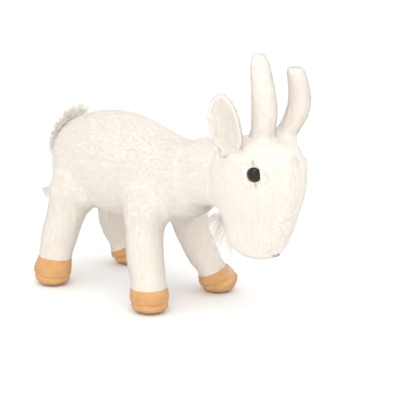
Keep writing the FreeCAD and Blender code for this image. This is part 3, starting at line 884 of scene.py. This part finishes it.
# ---------------------------------------------------------------- beard
BEARD_HAIRS, BEARD_LOCKS, BEARD_THICK = 300, 45, 0.22 * MM
CORE_SHARE = (0.8, 0.3, 0.2)  # how much of the beard's solid its core keeps each way
rng = np.random.default_rng(500)
core = dress(skinned("beard_core", ["beard"], 1.5 * MM, 6.5 * MM), plush)
low, high = (np.array(p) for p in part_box("beard"))
points = coords(core.data)
lump = np.array((0.0, low[1] + 11 * MM, high[2] - 5 * MM))
move_to(core.data, lump + (points - points.mean(0)) * CORE_SHARE)
count, locks = BEARD_HAIRS, BEARD_LOCKS
lock = rng.integers(0, locks, count)
lock_share = ((np.arange(locks) + rng.random(locks)) / locks)
back = np.clip(lock_share[lock] + rng.normal(0, 0.04, count), 0, 1)
root = np.stack([rng.normal(0, 4.5 * MM, count),
                 low[1] + 1 * MM + back * 20 * MM + rng.normal(0, 2 * MM, count),
                 high[2] - 9 * MM + rng.random(count) * 7 * MM], 1)
long = (44 + 8 * back) * MM * rng.uniform(0.6, 1.1, locks)[lock] * rng.uniform(0.8, 1.05, count)
angle = np.radians(-84 + 78 * back ** 1.3)
heading = np.stack([rng.normal(0, 0.10, locks)[lock] + rng.normal(0, 0.03, count),
                    np.cos(angle), np.sin(angle)], 1)
t = np.linspace(0, 1, 9)[None, :, None]
paths = root[:, None] + heading[:, None] * long[:, None, None] * t
sag = (0.15 + 0.5 * back)[:, None, None] * long[:, None, None]
paths -= UP * sag * t ** 2.2
paths -= np.array((0.0, 1.0, 0.0)) * sag * 0.35 * t ** 2.5
wave = rng.normal(size=(locks, 1, 3))[lock] * 1.3 * MM
paths += wave * np.sin(t * 4 + rng.random((locks, 1, 1))[lock] * 6) * t
lit = unit(np.array((-0.6, -0.5, 0.6)) + rng.normal(size=(count, 3)) * 0.15)
beard = strands("beard_fur", paths, BEARD_THICK, rng, beard_hair, lit, 0.9)
for each in (core, beard):
    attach(each, "beard")
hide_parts("beard")

# ---------------------------------------------------------------- small hard parts
for side in SIDES:
    dress(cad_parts[f"eye_{side}"], eye_gloss)
    dress(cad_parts[f"eye_washer_{side}"], washer)
dress(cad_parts["mouth_stitch"], mouth_thread)

# ---------------------------------------------------------------- sewn-in label
LABEL_WIDTH, LABEL_LENGTH, LABEL_OUT = 10 * MM, 42 * MM, -1.6 * MM
LABEL_DROOP = 20.6
LABEL_CURL, CURL_START = 1.6 * MM, 0.72  # how far the tip curls, and where the curl starts
low, high = (np.array(p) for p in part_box("sewn_in_label"))
middle = (low + high) / 2
slope = math.radians(LABEL_DROOP)
along = np.array((0, math.cos(slope), -math.sin(slope)))
side_way = np.array((0, math.sin(slope), math.cos(slope)))
rows, columns = 18, 6
t, share = np.meshgrid(np.linspace(0, 1, rows), np.linspace(-0.5, 0.5, columns), indexing="ij")
out = ((t - 0.5) * LABEL_LENGTH + LABEL_OUT)[..., None]
spot = middle + out * along + (share * LABEL_WIDTH)[..., None] * side_way
curl = LABEL_CURL * (np.maximum(t - CURL_START, 0) / (1 - CURL_START)) ** 2 * (1 + share)
spot += curl[..., None] * np.array((-1, 0, -0.3))
grid = np.arange(rows * columns).reshape(rows, columns)
faces = np.stack([grid[:-1, :-1], grid[1:, :-1], grid[1:, 1:], grid[:-1, 1:]], -1).reshape(-1, 4)
label = dress(link("label_ribbon", from_arrays("label_ribbon", spot.reshape(-1, 3), faces)), ribbon)
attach(label, "torso")
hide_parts("sewn_in_label")

# ---------------------------------------------------------------- stage
bpy.ops.mesh.primitive_plane_add(size=8, location=(0, 0, 0))
floor = bpy.context.object
floor.name = "floor"
dress(floor, mottled(material("pale_floor", (0.95, 0.95, 0.95), 0.9), (0.94, 0.94, 0.94),
                     (0.955, 0.955, 0.955), 3, 0.0, 10))

world = scene.world or bpy.data.worlds.new("World")
scene.world = world
world.use_nodes = True
world.node_tree.nodes["Background"].inputs["Color"].default_value = (1, 1, 1, 1)
world.node_tree.nodes["Background"].inputs["Strength"].default_value = 1.19


def lamp(name, place, aim, size, power):
    """A soft square lamp at place that shines towards aim."""
    light = bpy.data.lights.new(name, "AREA")
    light.size = size
    light.energy = power
    thing = bpy.data.objects.new(name, light)
    scene.collection.objects.link(thing)
    thing.location = place
    thing.rotation_euler = (Vector(aim) - Vector(place)).to_track_quat("-Z", "Y").to_euler()


STANCE = Vector((0, 0.0337, 0))
lamp("top_softbox", (-0.35, -0.35, 1.3), STANCE, 0.8, 2.9)
lamp("front_softbox", (-1.3, -0.7, 0.8), STANCE, 0.7, 1.9)

# ---------------------------------------------------------------- camera
AZIMUTH, ELEVATION, DISTANCE = math.radians(-43.27), math.radians(17.39), 1.2
LENS, SENSOR = 119.88, 36  # in mm
AIM_RIGHT, AIM_UP = 57.946 * MM, 76.577 * MM  # how far beside and above STANCE the camera aims

back = Vector((math.sin(AZIMUTH) * math.cos(ELEVATION),
               -math.cos(AZIMUTH) * math.cos(ELEVATION), math.sin(ELEVATION)))
right = Vector((math.cos(AZIMUTH), math.sin(AZIMUTH), 0))
above = back.cross(right)
view = right * (AIM_RIGHT / DISTANCE) + above * (AIM_UP / DISTANCE) - back
camera_data = bpy.data.cameras.new("camera")
camera_data.lens = LENS
camera_data.sensor_width = SENSOR
camera = bpy.data.objects.new("camera", camera_data)
scene.collection.objects.link(camera)
camera.location = STANCE + back * DISTANCE
camera.rotation_euler = view.to_track_quat("-Z", "Y").to_euler()
scene.camera = camera
scene.view_settings.view_transform = "Standard"
